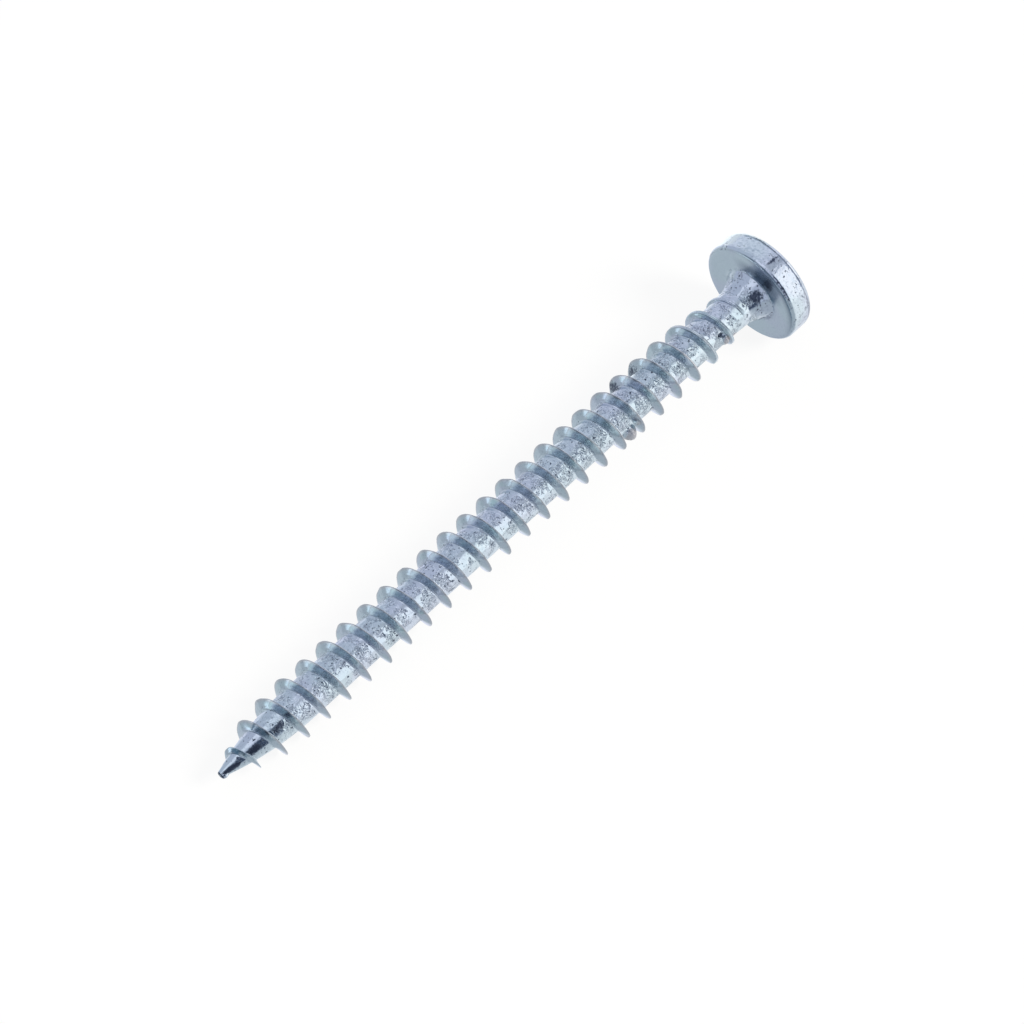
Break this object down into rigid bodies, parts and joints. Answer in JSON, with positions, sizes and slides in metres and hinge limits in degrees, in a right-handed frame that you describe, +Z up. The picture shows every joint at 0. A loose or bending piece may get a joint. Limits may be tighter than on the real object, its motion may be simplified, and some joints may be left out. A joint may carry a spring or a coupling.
{
  "type": "round head wood screw",
  "caption": "Long wood screw with a wide low-domed head, cross recess, coarse thin-bladed thread, flared neck and blunt point, in blue-passivated zinc.",
  "frame": {"origin": "middle of the box that the lying screw fills, on the surface it lies on", "axes": "+X from the point to the head, +Z up; the screw's own axis climbs 2.5 degrees towards the head, because the head is wider than the thread"},
  "size_m": [0.063, 0.0094, 0.0095],
  "materials": {
    "zinc_plating": "glossy blue-passivated zinc plating, slightly mottled"
  },
  "bodies": {
    "root": {"screw": "zinc_plating"}
  },
  "joints": []
}
